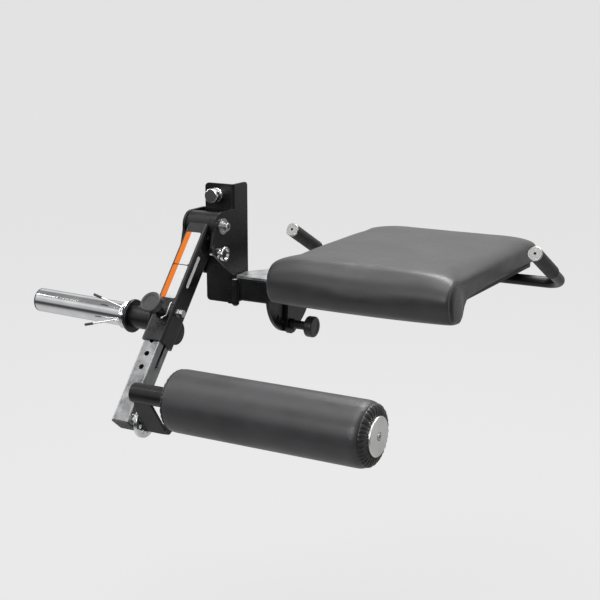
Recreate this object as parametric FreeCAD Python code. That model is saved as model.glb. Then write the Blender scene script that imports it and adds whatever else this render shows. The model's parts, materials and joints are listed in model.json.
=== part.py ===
import FreeCAD, Part
import math
import os

# Leg extension attachment for a strength rack with 60 mm square uprights.
# Frame: millimetres, +Z up. The user sits facing -Y, so +X points to the user's left.
# Origin: where the axis of the mounting pin meets the front face of the upright.

Vector = FreeCAD.Vector
Placement = FreeCAD.Placement
Rotation = FreeCAD.Rotation

X_AXIS = Vector(1, 0, 0)
Y_AXIS = Vector(0, 1, 0)
Z_AXIS = Vector(0, 0, 1)

# ---------------------------------------------------------------- driving dimensions

# Upright and the bracket that wraps its front and one side
UPRIGHT_HALF = 30.0
LINER = 1.5
PLATE = 5.0
BRACKET_TOP = 23.0
BRACKET_BOTTOM = -236.0
BRACKET_LEFT = -35.0
SIDE_PLATE_BACK = 50.0
SIDE_INNER = UPRIGHT_HALF + LINER
SIDE_OUTER = SIDE_INNER + PLATE
FRONT_FACE = -(LINER + PLATE)
BRACKET_CORNER = 9.0

# Mounting pin, square to the front plate
PIN_RADIUS = 8.0
PIN_BODY_RADIUS = 9.0
PIN_REACH = 34.0
PIN_HEAD_RADIUS = 15.5
PIN_HEAD_FRONT = -39.5

# Lever pivot
PIVOT_Y = -56.0
PIVOT_Z = -59.0
LEVER_ANGLE = 40.0
EAR_RADIUS = 30.0
EAR_INNER = 34.0
EAR = 6.0
SHAFT_RADIUS = 12.5
BARREL_RADIUS = 29.0
BARREL_HALF = 33.5
BUSH_RADIUS = 16.0
RUNNING_GAP = 0.05

# Lever sleeve and the tube that slides in it, in the lever's own frame:
# the lever hangs straight down from the pivot, which is the frame's origin
SLEEVE_HALF = 25.0
SLEEVE_WALL = 3.0
SLEEVE_CORNER = 6.0
SLEEVE_TOP = -14.0
SLEEVE_END = -289.0
LEVER_SHIFT = -5.0
TUBE_HALF = 20.0
TUBE_WALL = 2.5
TUBE_CORNER = 4.0
TUBE_TOP = -90.0
TUBE_END = -467.0
HOLE_PITCH = 30.0
HOLE_RADIUS = 5.6
PLUNGER_Z = -229.0

# Stop pin behind the lever
STOP_RADIUS = 6.0
STOP_DISTANCE = 51.0

# Weight post
POST_Z = -236.0
POST_RADIUS = 25.0
POST_TILT = 1.5
SOCKET_RADIUS = 24.0
FLANGE_RADIUS = 35.0
FLANGE_NEAR = 78.0
FLANGE_FAR = 86.0
POST_END = 326.0

# Roller carrier: index disc on the sliding tube, roller axle beside it
HUB_Z = -454.0
DISC_RADIUS = 32.0
DISC_NEAR = 39.0
DISC_FAR = 47.0
INDEX_CIRCLE = 20.2
INDEX_HOLES = 8
CARRIER_LEAN = 26.5
CARRIER_LEFT = 49.0
AXLE_OFFSET = 79.0
AXLE_RADIUS = 19.5
INDEX_PIN_RADIUS = 4.0
INDEX_PIN_ANGLE = -59.4

# Roller
ROLLER_RADIUS = 64.0
ROLLER_LEFT = 145.0
ROLLER_RIGHT = 566.0
CORE_RADIUS = 24.0
ROLLER_DISC_RADIUS = 36.5

# Seat arm and its upright hinge
HINGE_X = 43.0
HINGE_Y = -13.0
HINGE_RADIUS = 8.0
HINGE_PIN_RADIUS = 5.0
HINGE_TOP = -181.0
HINGE_BOTTOM = -236.0
ARM_HALF = 25.0
ARM_Y = 15.0
ARM_Z = -203.0
ARM_LEFT = 53.0
ARM_RIGHT = 120.0
ARM_WALL = 3.0

# Seat: tilt pivot, index sector and cushion
TILT_Y = 78.0
TILT_Z = -211.0
SECTOR_RADIUS = 93.0
SECTOR_LEFT = 120.0
SECTOR_RIGHT = 128.0
CHEEK_LEFT = 128.3
CHEEK_RIGHT = 136.3
TILT_CIRCLE = 76.0
TILT_PIN_ANGLE = -97.0
TILT_STEP = 10.0
CUSHION_LEFT = 130.0
CUSHION_RIGHT = 565.0
CUSHION_TOP = -120.0
CUSHION_BASE = -178.0
CUSHION_BACK = 505.0
CUSHION_FRONT = -64.0
LIP_BOTTOM = -227.0
SEAT_MIDDLE = (CUSHION_LEFT + CUSHION_RIGHT) / 2
BOARD = 8.0
BOARD_FRONT = 66.0
RAIL = 8.0
HANDLE_SPREAD = 289.0
HANDLE_RADIUS = 12.5
GRIP_RADIUS = 15.5

# Pull pins, knobs and clamp screw
BUSHING_SHANK = 12.0
PLUNGER_PIN_RADIUS = 5.0
KNOB_RADIUS = 23.0
STOP_BUSH_RADIUS = 9.5
STOP_Y_LOCAL = LEVER_SHIFT + SLEEVE_HALF + STOP_RADIUS + 0.1
CLAMP_Y = -13.0
CLAMP_Z = -217.0

# Yoke ears: (y, z, corner radius)
EAR_OUTLINE = [
    (FRONT_FACE, PIVOT_Z + EAR_RADIUS, 0),
    (PIVOT_Y - EAR_RADIUS, PIVOT_Z + EAR_RADIUS, EAR_RADIUS - 0.5),
    (PIVOT_Y - EAR_RADIUS - 2, PIVOT_Z - 8, 0),
    (-99.0, -106.0, 12.0),
    (FRONT_FACE - EAR, -175.0, 0),
    (FRONT_FACE, -175.0, 0),
]

# Spring collar: a coil of round wire, each leg's angle measured from the top towards the front
COLLAR_WIRE = 2.0
COLLAR_RADIUS = POST_RADIUS + COLLAR_WIRE + 0.4
COLLAR_NEAR = FLANGE_FAR + COLLAR_WIRE + 2.0
COLLAR_PITCH = 2 * COLLAR_WIRE + 0.4
COLLAR_TOP_END = 15.0
COLLAR_FRONT_END = 118.0
COLLAR_TURNS = 3 + (COLLAR_TOP_END - COLLAR_FRONT_END) / 360
COLLAR_GRIP = 18.0

# Plates of the roller carrier
FLANGE_THICK = 6.0
GUSSET_FRONT = -16.0
GUSSET_BACK = -10.0

# Lock hole in the arm's top plate, and the beam under the seat
LOCK_X = 54.0
LOCK_Y = 8.0
BEAM_HALF = 25.0
BEAM_TOP = TILT_Z + BEAM_HALF
BEAM_RIGHT = 500.0
BOARD_SCREWS = [(SEAT_MIDDLE + side * 150, y) for side in (-1, 1) for y in (150.0, 330.0)]

# Handles: bend point, end cap centre and lengths
HANDLE_Y = 402.0
HANDLE_Z = CUSHION_BASE - BOARD - RAIL - HANDLE_RADIUS
CAP_Y = 205.0
CAP_Z = -104.0
CAP = 5.0
GRIP_LENGTH = 128.0


# ---------------------------------------------------------------- helpers

def block(x0, x1, y0, y1, z0, z1):
    return Part.makeBox(x1 - x0, y1 - y0, z1 - z0, Vector(x0, y0, z0))


def rod(radius, start, end):
    start = Vector(*start)
    along = Vector(*end) - start
    return Part.makeCylinder(radius, along.Length, start, along)


def cone(radius_a, radius_b, start, end):
    start = Vector(*start)
    along = Vector(*end) - start
    return Part.makeCone(radius_a, radius_b, along.Length, start, along)


def ring(outer, inner, start, end):
    return rod(outer, start, end).cut(rod(inner, start, end))


def x_rod(radius, x0, x1, y=0.0, z=0.0):
    return rod(radius, (x0, y, z), (x1, y, z))


def x_ring(outer, inner, x0, x1, y=0.0, z=0.0):
    return x_rod(outer, x0, x1, y, z).cut(x_rod(inner, x0, x1, y, z))


def hexagon_rod(across_flats, start, end):
    """A hexagonal bar between two points."""
    start = Vector(*start)
    along = Vector(*end) - start
    radius = across_flats / math.sqrt(3)
    turn = Rotation(Z_AXIS, along)
    corners = []
    for i in range(7):
        angle = math.radians(60 * i)
        corners.append(start + turn.multVec(Vector(radius * math.cos(angle), radius * math.sin(angle), 0)))
    return Part.Face(Part.makePolygon(corners)).extrude(along)


def rounded_outline(corners):
    """A closed wire from (point, radius) pairs, with a tangent arc at each corner that has a radius."""
    edges = []
    joints = []
    count = len(corners)
    for i, (corner, radius) in enumerate(corners):
        before = corners[i - 1][0]
        after = corners[(i + 1) % count][0]
        if radius == 0:
            joints.append((corner, None, corner))
            continue
        to_before = (before - corner).normalize()
        to_after = (after - corner).normalize()
        half_turn = to_before.getAngle(to_after) / 2
        setback = radius / math.tan(half_turn)
        inward = (to_before + to_after).normalize()
        middle = corner + inward * (radius / math.sin(half_turn) - radius)
        joints.append((corner + to_before * setback, middle, corner + to_after * setback))
    for i, (arc_start, middle, arc_end) in enumerate(joints):
        if middle is not None:
            edges.append(Part.Arc(arc_start, middle, arc_end).toShape())
        next_start = joints[(i + 1) % count][0]
        if arc_end.distanceToPoint(next_start) > 1e-6:
            edges.append(Part.LineSegment(arc_end, next_start).toShape())
    return Part.Wire(edges)


def side_plate(outline, x0, x1):
    """A plate square to X from (y, z, corner radius) triples."""
    corners = [(Vector(x0, y, z), radius) for y, z, radius in outline]
    return Part.Face(rounded_outline(corners)).extrude(Vector(x1 - x0, 0, 0))


def flat_plate(outline, z0, z1):
    """A plate square to Z from (x, y, corner radius) triples."""
    corners = [(Vector(x, y, z0), radius) for x, y, radius in outline]
    return Part.Face(rounded_outline(corners)).extrude(Vector(0, 0, z1 - z0))


def square_bar(half, corner, z0, z1, middle_y):
    low_y = middle_y - half
    high_y = middle_y + half
    outline = [
        (-half, low_y, corner),
        (half, low_y, corner),
        (half, high_y, corner),
        (-half, high_y, corner),
    ]
    return flat_plate(outline, z0, z1)


def x_square_tube(half, wall, corner, x0, x1, middle_y, middle_z):
    """A square tube along X."""
    def bar(reach, radius):
        outline = [
            (middle_y - reach, middle_z - reach, radius),
            (middle_y + reach, middle_z - reach, radius),
            (middle_y + reach, middle_z + reach, radius),
            (middle_y - reach, middle_z + reach, radius),
        ]
        return side_plate(outline, x0, x1)
    return bar(half, corner).cut(bar(half - wall, corner - wall / 2))


def fillet_where(shape, radius, chosen):
    """Rounds the edges whose middle point passes the test."""
    edges = [edge for edge in shape.Edges if chosen(edge.CenterOfMass, edge)]
    return shape.makeFillet(radius, edges)


def fuse(first, *others):
    return first.multiFuse(list(others)).removeSplitter()


def mirrored_x(shape, plane_x=0.0):
    return shape.mirror(Vector(plane_x, 0, 0), X_AXIS)


LEVER_PLACE = Placement(Vector(0, PIVOT_Y, PIVOT_Z), Rotation(X_AXIS, -LEVER_ANGLE))


def on_lever(shape):
    """Moves a shape from the lever's own frame to its place at rest."""
    return shape.transformed(LEVER_PLACE.toMatrix(), True)


HUB = LEVER_PLACE.multVec(Vector(0, LEVER_SHIFT, HUB_Z))
CARRIER_PLACE = Placement(HUB, Rotation(X_AXIS, CARRIER_LEAN))


def on_carrier(shape):
    """Moves a shape from the roller carrier's frame (hub at the origin, axle above it) to its place."""
    return shape.transformed(CARRIER_PLACE.toMatrix(), True)


POST_FOOT = LEVER_PLACE.multVec(Vector(0, LEVER_SHIFT, POST_Z))
POST_PLACE = Placement(POST_FOOT, Rotation(Y_AXIS, POST_TILT))


def on_post(shape):
    """Moves a shape from the post's frame (axis along -X) to its place."""
    return shape.transformed(POST_PLACE.toMatrix(), True)


def export(name, shape):
    shape.exportStep("parts/" + name + ".step")
    solids = len(shape.Solids)
    print(name, "solids", solids, "valid", shape.isValid(), "volume", round(shape.Volume))


# ---------------------------------------------------------------- bracket on the upright

def make_mount_bracket():
    bend = 6.0
    plan = [
        (BRACKET_LEFT, FRONT_FACE, 0),
        (SIDE_OUTER, FRONT_FACE, bend),
        (SIDE_OUTER, SIDE_PLATE_BACK, 0),
        (SIDE_INNER, SIDE_PLATE_BACK, 0),
        (SIDE_INNER, -LINER, 1.0),
        (BRACKET_LEFT, -LINER, 0),
    ]
    angle = flat_plate(plan, BRACKET_BOTTOM, BRACKET_TOP)

    def outer_corner(middle, edge):
        at_left = abs(middle.x - BRACKET_LEFT) < 0.1 and edge.Length < PLATE + 0.1
        at_back = abs(middle.y - SIDE_PLATE_BACK) < 0.1 and edge.Length < PLATE + 0.1
        at_end = middle.z > BRACKET_TOP - 0.1 or middle.z < BRACKET_BOTTOM + 0.1
        return at_end and (at_left or at_back)
    angle = fillet_where(angle, BRACKET_CORNER, outer_corner)
    return angle.cut(rod(BUSHING_SHANK, (0, FRONT_FACE - 1, 0), (0, 1, 0)))


def make_bracket_liner():
    gap = 4.0
    plan = [
        (BRACKET_LEFT + gap, -LINER, 0),
        (SIDE_INNER, -LINER, 1.0),
        (SIDE_INNER, SIDE_PLATE_BACK - gap, 0),
        (UPRIGHT_HALF, SIDE_PLATE_BACK - gap, 0),
        (UPRIGHT_HALF, 0, 0),
        (BRACKET_LEFT + gap, 0, 0),
    ]
    liner = flat_plate(plan, BRACKET_BOTTOM + gap, BRACKET_TOP - gap)
    return liner.cut(rod(BUSHING_SHANK, (0, -5, 0), (0, 5, 0)))


def make_pin_bushing():
    collar = rod(15.0, (0, FRONT_FACE - 12, 0), (0, FRONT_FACE, 0))
    collar = fillet_where(collar, 1.5, lambda middle, edge: middle.y < FRONT_FACE - 11)
    shank = rod(BUSHING_SHANK, (0, FRONT_FACE, 0), (0, 0, 0))
    bore = rod(PIN_BODY_RADIUS + RUNNING_GAP, (0, -60, 0), (0, 10, 0))
    return fuse(collar, shank).cut(bore)


def make_mounting_pin():
    collar_front = FRONT_FACE - 12.1
    head = rod(PIN_HEAD_RADIUS, (0, PIN_HEAD_FRONT, 0), (0, PIN_HEAD_FRONT + 14, 0))
    head = fillet_where(head, 2.0, lambda middle, edge: edge.Length > 50)
    neck = rod(10.5, (0, PIN_HEAD_FRONT + 13, 0), (0, collar_front, 0))
    body = rod(PIN_BODY_RADIUS, (0, collar_front - 1, 0), (0, 0, 0))
    shank = rod(PIN_RADIUS, (0, -1, 0), (0, PIN_REACH - 5, 0))
    tip = cone(PIN_RADIUS, PIN_RADIUS - 2.5, (0, PIN_REACH - 5, 0), (0, PIN_REACH, 0))
    return fuse(head, neck, body, shank, tip)


def lever_point(x, y, z):
    return LEVER_PLACE.multVec(Vector(x, y, z))


STOP_POINT = lever_point(0, STOP_Y_LOCAL, -STOP_DISTANCE)


def make_pivot_yoke():
    web = block(-EAR_INNER, EAR_INNER, FRONT_FACE - EAR, FRONT_FACE, -175.0, PIVOT_Z + EAR_RADIUS)
    right_ear = side_plate(EAR_OUTLINE, EAR_INNER, EAR_INNER + EAR)
    left_ear = mirrored_x(right_ear)
    yoke = fuse(web, right_ear, left_ear)
    yoke = yoke.cut(x_rod(SHAFT_RADIUS, -60, 60, PIVOT_Y, PIVOT_Z))
    return yoke.cut(x_rod(STOP_BUSH_RADIUS, 0, 60, STOP_POINT.y, STOP_POINT.z))


def make_pivot_shaft():
    reach = EAR_INNER + EAR
    shaft = x_rod(SHAFT_RADIUS, -reach, reach, PIVOT_Y, PIVOT_Z)
    tapped = x_rod(5.0, reach - 24, reach, PIVOT_Y, PIVOT_Z)
    return shaft.cut(tapped).cut(mirrored_x(tapped))


def make_pivot_washers():
    face = EAR_INNER + EAR
    disc = x_ring(16.8, 5.0, face, face + 3, PIVOT_Y, PIVOT_Z)
    step = x_ring(11.0, 5.0, face + 3, face + 5, PIVOT_Y, PIVOT_Z)
    washer = fuse(disc, step)
    return Part.makeCompound([washer, mirrored_x(washer)])


def make_pivot_screws():
    seat = EAR_INNER + EAR + 5
    head = x_rod(8.0, seat, seat + 10, PIVOT_Y, PIVOT_Z)
    head = fillet_where(head, 1.0, lambda middle, edge: middle.x > seat + 9)
    shank = x_rod(4.9, seat - 26, seat, PIVOT_Y, PIVOT_Z)
    socket = hexagon_rod(8.0, (seat + 5, PIVOT_Y, PIVOT_Z), (seat + 11, PIVOT_Y, PIVOT_Z))
    screw = fuse(head, shank).cut(socket)
    return Part.makeCompound([screw, mirrored_x(screw)])


def make_stop_bushing():
    inner = EAR_INNER - 2
    outer = EAR_INNER + EAR
    body = x_rod(STOP_BUSH_RADIUS, inner, outer, STOP_POINT.y, STOP_POINT.z)
    lip = x_rod(STOP_BUSH_RADIUS + 2, outer, outer + 3, STOP_POINT.y, STOP_POINT.z)
    bore = x_rod(STOP_RADIUS + RUNNING_GAP, inner - 1, outer + 4, STOP_POINT.y, STOP_POINT.z)
    return fuse(body, lip).cut(bore)


def make_stop_pin():
    seat = EAR_INNER + EAR + 3.1
    shank = x_rod(STOP_RADIUS, 8, seat + 1, STOP_POINT.y, STOP_POINT.z)
    neck = x_rod(8.0, seat, seat + 6, STOP_POINT.y, STOP_POINT.z)
    head = x_rod(15.5, seat + 6, seat + 13, STOP_POINT.y, STOP_POINT.z)
    dish = x_rod(11.5, seat + 10, seat + 14, STOP_POINT.y, STOP_POINT.z)
    head = fillet_where(head, 1.8, lambda middle, edge: edge.Length > 50)
    return fuse(shank, neck, head).cut(dish)


# ---------------------------------------------------------------- lever

def make_lever_barrel():
    barrel = x_ring(BARREL_RADIUS, BUSH_RADIUS, -BARREL_HALF, BARREL_HALF)
    return on_lever(barrel)


def make_barrel_bushings():
    bush = x_ring(BUSH_RADIUS, SHAFT_RADIUS + RUNNING_GAP, 12, BARREL_HALF)
    return on_lever(Part.makeCompound([bush, mirrored_x(bush)]))


def make_grease_nipple():
    angle = math.radians(-95)
    direction = Vector(0, math.cos(angle), math.sin(angle))
    start = direction * (BARREL_RADIUS - 1)
    x = (SLEEVE_HALF + EAR_INNER) / 2
    hexagon_end = (x, start.y + direction.y * 5, start.z + direction.z * 5)
    hexagon = hexagon_rod(7.0, (x, start.y, start.z), hexagon_end)
    ball_foot = start + direction * 5
    ball_tip = start + direction * 10
    neck = cone(2.8, 1.8, (x, ball_foot.y, ball_foot.z), (x, ball_tip.y, ball_tip.z))
    nipple = fuse(hexagon, neck)
    return on_lever(nipple.cut(x_rod(BARREL_RADIUS, -BARREL_HALF, BARREL_HALF)))


def front_of_sleeve(depth=0.0):
    return LEVER_SHIFT - SLEEVE_HALF - depth


def make_lever_sleeve():
    outer = square_bar(SLEEVE_HALF, SLEEVE_CORNER, SLEEVE_END, SLEEVE_TOP, LEVER_SHIFT)
    inner_half = SLEEVE_HALF - SLEEVE_WALL
    inner = square_bar(inner_half, SLEEVE_CORNER - SLEEVE_WALL, SLEEVE_END - 1, SLEEVE_TOP + 1, LEVER_SHIFT)
    sleeve = outer.cut(inner).cut(x_rod(BARREL_RADIUS, -60, 60))
    plunger_hole = rod(8.0, (0, front_of_sleeve(5), PLUNGER_Z), (0, front_of_sleeve(-10), PLUNGER_Z))
    screw_hole = x_rod(5.0, 15, 30, CLAMP_Y, CLAMP_Z)
    return on_lever(sleeve.cut(plunger_hole).cut(screw_hole))


def make_sleeve_guides():
    guides = []
    for low, high in ((SLEEVE_END, SLEEVE_END + 30), (-172.0, -142.0)):
        outer_half = SLEEVE_HALF - SLEEVE_WALL
        outer = square_bar(outer_half, SLEEVE_CORNER - SLEEVE_WALL, low, high, LEVER_SHIFT)
        bore_half = TUBE_HALF + 0.1
        guides.append(outer.cut(square_bar(bore_half, TUBE_CORNER, low - 1, high + 1, LEVER_SHIFT)))
    return on_lever(Part.makeCompound(guides))


def make_sleeve_labels():
    """Two plain adhesive plates on the sleeve's front and a narrow graduated strip on its right side."""
    front = front_of_sleeve()
    strip = block(SLEEVE_HALF, SLEEVE_HALF + 0.4, -20.0, -11.5, -160.0, -86.0)
    labels = [fillet_where(strip, 4.0, lambda middle, edge: abs(edge.Length - 0.4) < 0.01)]
    for top in (-37.0, -116.0):
        sheet = block(-18.5, 17.5, front - 0.4, front, top - 77, top)
        labels.append(fillet_where(sheet, 4.0, lambda middle, edge: abs(edge.Length - 0.4) < 0.01))
    return on_lever(Part.makeCompound(labels))


def make_length_plunger_body():
    front = front_of_sleeve()
    shank = rod(8.0, (0, front, PLUNGER_Z), (0, front + SLEEVE_WALL, PLUNGER_Z))
    nut = hexagon_rod(22.0, (0, front - 7, PLUNGER_Z), (0, front, PLUNGER_Z))
    taper = cone(8.5, 10.5, (0, front - 27, PLUNGER_Z), (0, front - 7, PLUNGER_Z))
    bore = rod(PLUNGER_PIN_RADIUS + RUNNING_GAP, (0, front - 30, PLUNGER_Z), (0, front + 5, PLUNGER_Z))
    return on_lever(fuse(shank, nut, taper).cut(bore))


def make_length_plunger_knob():
    front = front_of_sleeve()
    knob_near = front - 28
    knob_far = front - 50
    pin = rod(PLUNGER_PIN_RADIUS, (0, knob_near - 2, PLUNGER_Z), (0, front + SLEEVE_WALL, PLUNGER_Z))
    stem = rod(13.0, (0, knob_near - 8, PLUNGER_Z), (0, knob_near, PLUNGER_Z))
    head = rod(KNOB_RADIUS, (0, knob_far, PLUNGER_Z), (0, knob_near - 7, PLUNGER_Z))
    head = fillet_where(head, 3.5, lambda middle, edge: edge.Length > 60)
    dimple = rod(KNOB_RADIUS - 8, (0, knob_far - 1, PLUNGER_Z), (0, knob_far + 0.8, PLUNGER_Z))
    return on_lever(fuse(pin, stem, head).cut(dimple))


def bent_wire(points, radius, bend):
    """A round bar along straight runs, joined by tangent bends of the given centre-line radius."""
    corners = [Vector(*point) for point in points]
    pieces = []
    start = corners[0]
    for before, corner, after in zip(corners, corners[1:], corners[2:]):
        to_before = (before - corner).normalize()
        to_after = (after - corner).normalize()
        opening = to_before.getAngle(to_after)
        bend_start = corner + to_before * (bend / math.tan(opening / 2))
        bend_end = corner + to_after * (bend / math.tan(opening / 2))
        centre = corner + (to_before + to_after).normalize() * (bend / math.sin(opening / 2))
        section = Part.Face(Part.Wire(Part.makeCircle(radius, bend_start, to_before)))
        axis = to_before.cross(to_after) * -1
        run = bend_start - start
        pieces.append(Part.makeCylinder(radius, run.Length, start, run))
        pieces.append(section.revolve(centre, axis, 180 - math.degrees(opening)))
        start = bend_end
    run = corners[-1] - start
    pieces.append(Part.makeCylinder(radius, run.Length, start, run))
    return pieces[0].multiFuse(pieces[1:])


def make_keeper_wire():
    """A small bent wire keeper beside the plunger, with a ball on its end."""
    front = front_of_sleeve()
    route = [
        (19.0, front - 0.2, -206.0),
        (19.0, front - 9.0, -206.0),
        (19.0, front - 9.0, -236.0),
        (12.0, front - 9.0, -243.0),
    ]
    wire = bent_wire(route, 1.2, 3.5)
    ball = Part.makeSphere(2.6, Vector(12.0, front - 9.0, -243.0))
    return on_lever(fuse(wire, ball))


def make_clamp_screw():
    """A screw with a lock nut that takes up the play between sleeve and tube."""
    tip = TUBE_HALF + 0.5
    under_head = SLEEVE_HALF + 8
    shank = x_rod(4.95, tip, under_head, CLAMP_Y, CLAMP_Z)
    head = hexagon_rod(14.0, (under_head, CLAMP_Y, CLAMP_Z), (under_head + 7, CLAMP_Y, CLAMP_Z))
    nut = hexagon_rod(15.0, (SLEEVE_HALF, CLAMP_Y, CLAMP_Z), (SLEEVE_HALF + 6, CLAMP_Y, CLAMP_Z))
    nut = nut.cut(x_rod(4.95, SLEEVE_HALF - 1, SLEEVE_HALF + 7, CLAMP_Y, CLAMP_Z))
    return on_lever(Part.makeCompound([fuse(shank, head), nut]))


def make_rear_bumper():
    """A half-round rubber block on the sleeve's back that meets the upright when the lever hangs."""
    back = LEVER_SHIFT + SLEEVE_HALF
    whole = x_rod(26.0, -20, 20, back, -246.0)
    half = whole.common(block(-30, 30, back, back + 40, -300, -200))
    return on_lever(fillet_where(half, 3.0, lambda middle, edge: middle.y > back + 5 and edge.Length > 60))


def make_post_socket():
    """The stub tube welded to the sleeve's left side, with the flange that plates rest against."""
    tube = x_rod(SOCKET_RADIUS, -FLANGE_NEAR, -SLEEVE_HALF + 2)
    bore = x_rod(SOCKET_RADIUS - 4, -FLANGE_NEAR, 0)
    flange = x_rod(FLANGE_RADIUS, -FLANGE_FAR, -FLANGE_NEAR)
    flange = fillet_where(flange, 2.5, lambda middle, edge: edge.Length > 60)
    placed = on_post(fuse(tube.cut(bore), flange))
    return placed.common(block(-200, -SLEEVE_HALF, -400, 0, -400, 0))


def make_weight_post():
    tube = x_ring(POST_RADIUS, POST_RADIUS - 3, -POST_END, -FLANGE_FAR)
    drain = rod(3.0, (-POST_END + 8, 0, 10), (-POST_END + 8, 0, 40))
    return on_post(tube.cut(drain))


def make_post_cap():
    plug = x_rod(POST_RADIUS - 3, -POST_END, -POST_END + 4)
    rim = x_rod(POST_RADIUS, -POST_END - 4, -POST_END)
    rim = fillet_where(rim, 1.8, lambda middle, edge: middle.x < -POST_END - 3)
    return on_post(fuse(rim, plug))


def post_point(x, radius, angle_degrees):
    """A point beside the post's axis: the angle runs from the top towards the front."""
    angle = math.radians(angle_degrees)
    return Vector(-x, -radius * math.sin(angle), radius * math.cos(angle))


def collar_legs():
    """Each leg of the spring collar as the corners of its centre line, from the coil to its tip."""
    far = COLLAR_NEAR + COLLAR_PITCH * COLLAR_TURNS
    top_foot = post_point(COLLAR_NEAR, COLLAR_RADIUS, COLLAR_TOP_END)
    front_foot = post_point(far, COLLAR_RADIUS, COLLAR_FRONT_END)
    top_turn = post_point(0, 18, COLLAR_TOP_END + 90)
    front_turn = post_point(0, 9, COLLAR_FRONT_END - 90)
    top_leg = [top_foot, top_foot + top_turn, Vector(-165, -22, 38)]
    front_leg = [front_foot, front_foot + front_turn, Vector(-178, -37, -25)]
    return top_leg, front_leg


def make_spring_collar():
    """A coil spring clip round the post, with two legs to squeeze."""
    helix = Part.makeHelix(COLLAR_PITCH, COLLAR_PITCH * COLLAR_TURNS, COLLAR_RADIUS)
    section = Part.Wire(Part.makeCircle(COLLAR_WIRE, Vector(COLLAR_RADIUS, 0, 0), Y_AXIS))
    coil = Part.Wire(helix).makePipeShell([section], True, True)
    lay_down = Placement(Vector(-COLLAR_NEAR, 0, 0), Rotation(Y_AXIS, -90))
    turn = Placement(Vector(0, 0, 0), Rotation(X_AXIS, COLLAR_TOP_END))
    coil = coil.transformed(turn.multiply(lay_down).toMatrix(), True)
    legs = [bent_wire([tuple(corner) for corner in leg], COLLAR_WIRE, 5.0) for leg in collar_legs()]
    return on_post(Part.makeCompound([coil] + legs))


def make_collar_grips():
    """The plastic sleeves on the tips of the collar's legs."""
    grips = []
    for leg in collar_legs():
        tip = leg[-1]
        along = (tip - leg[-2]).normalize()
        start = tip - along * COLLAR_GRIP
        grip = rod(COLLAR_WIRE + 0.8, tuple(start), tuple(tip + along * 2))
        grips.append(grip.cut(rod(COLLAR_WIRE, tuple(start - along), tuple(tip))))
    return on_post(Part.makeCompound(grips))


# ---------------------------------------------------------------- sliding tube and index disc

def make_sliding_tube():
    outer = square_bar(TUBE_HALF, TUBE_CORNER, TUBE_END, TUBE_TOP, LEVER_SHIFT)
    inner_half = TUBE_HALF - TUBE_WALL
    inner = square_bar(inner_half, TUBE_CORNER - TUBE_WALL, TUBE_END - 1, TUBE_TOP + 1, LEVER_SHIFT)
    tube = outer.cut(inner)
    front = LEVER_SHIFT - TUBE_HALF
    for i in range(-3, 5):
        z = PLUNGER_Z - i * HOLE_PITCH
        tube = tube.cut(rod(HOLE_RADIUS, (0, front - 1, z), (0, front + TUBE_WALL + 1, z)))
    slot_half = 4.0
    slot_top = -252.0
    slot_end = -338.0
    near_y = LEVER_SHIFT - slot_half
    far_y = LEVER_SHIFT + slot_half
    slot = block(TUBE_HALF - 4, TUBE_HALF + 1, near_y, far_y, slot_end, slot_top)
    for z in (slot_top, slot_end):
        slot = slot.fuse(x_rod(slot_half, TUBE_HALF - 4, TUBE_HALF + 1, LEVER_SHIFT, z))
    return on_lever(tube.cut(slot))


def make_tube_end_cap():
    rim = square_bar(TUBE_HALF, TUBE_CORNER, TUBE_END - 3, TUBE_END, LEVER_SHIFT)
    plug = square_bar(TUBE_HALF - TUBE_WALL, TUBE_CORNER - TUBE_WALL, TUBE_END, TUBE_END + 8, LEVER_SHIFT)
    return on_lever(fuse(rim, plug))


def index_hole_offsets():
    for i in range(INDEX_HOLES):
        angle = math.radians(INDEX_PIN_ANGLE + i * 360 / INDEX_HOLES)
        yield INDEX_CIRCLE * math.cos(angle), INDEX_CIRCLE * math.sin(angle)


def make_index_disc():
    """A drilled disc with a boss that stands it off the sliding tube."""
    disc = x_rod(DISC_RADIUS, DISC_NEAR, DISC_FAR)
    disc = fillet_where(disc, 1.2, lambda middle, edge: edge.Length > 150)
    boss = x_rod(13.0, TUBE_HALF, DISC_NEAR)
    disc = fuse(disc, boss).cut(x_rod(8.0, 0, 100))
    for y, z in index_hole_offsets():
        disc = disc.cut(x_rod(INDEX_PIN_RADIUS + 0.4, DISC_NEAR - 1, DISC_FAR + 1, y, z))
    return on_carrier(disc)


def make_carrier_pivot_bolt():
    """The shoulder bolt that the roller carrier turns on, fixed in the disc and its boss."""
    shoulder = CARRIER_LEFT + FLANGE_THICK + 0.4
    shank = x_rod(8.0, TUBE_HALF, shoulder)
    washer = x_rod(9.4, shoulder, shoulder + 2)
    nut = hexagon_rod(16.0, (shoulder + 2, 0, 0), (shoulder + 9, 0, 0))
    thread = x_rod(5.0, shoulder + 9, shoulder + 12)
    return on_carrier(fuse(shank, washer, nut, thread))


# ---------------------------------------------------------------- roller carrier


def make_carrier_flange():
    """The plate beside the index disc, from the pivot up to the axle tube."""
    outline = [
        (-17.0, -9.0, 6.0),
        (5.0, -28.0, 9.0),
        (20.0, -26.0, 9.0),
        (19.0, 12.0, 8.0),
        (9.0, 74.0, 0),
        (-14.0, 74.0, 0),
    ]
    plate = side_plate(outline, CARRIER_LEFT, CARRIER_LEFT + FLANGE_THICK)
    plate = plate.cut(x_rod(AXLE_RADIUS, 0, 200, 0, AXLE_OFFSET))
    plate = plate.cut(x_rod(8.0 + RUNNING_GAP, 0, 200))
    return on_carrier(plate.cut(x_rod(INDEX_PIN_RADIUS + RUNNING_GAP, 0, 200, *index_pin_offset())))


def index_pin_offset():
    angle = math.radians(INDEX_PIN_ANGLE)
    return INDEX_CIRCLE * math.cos(angle), INDEX_CIRCLE * math.sin(angle)


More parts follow.
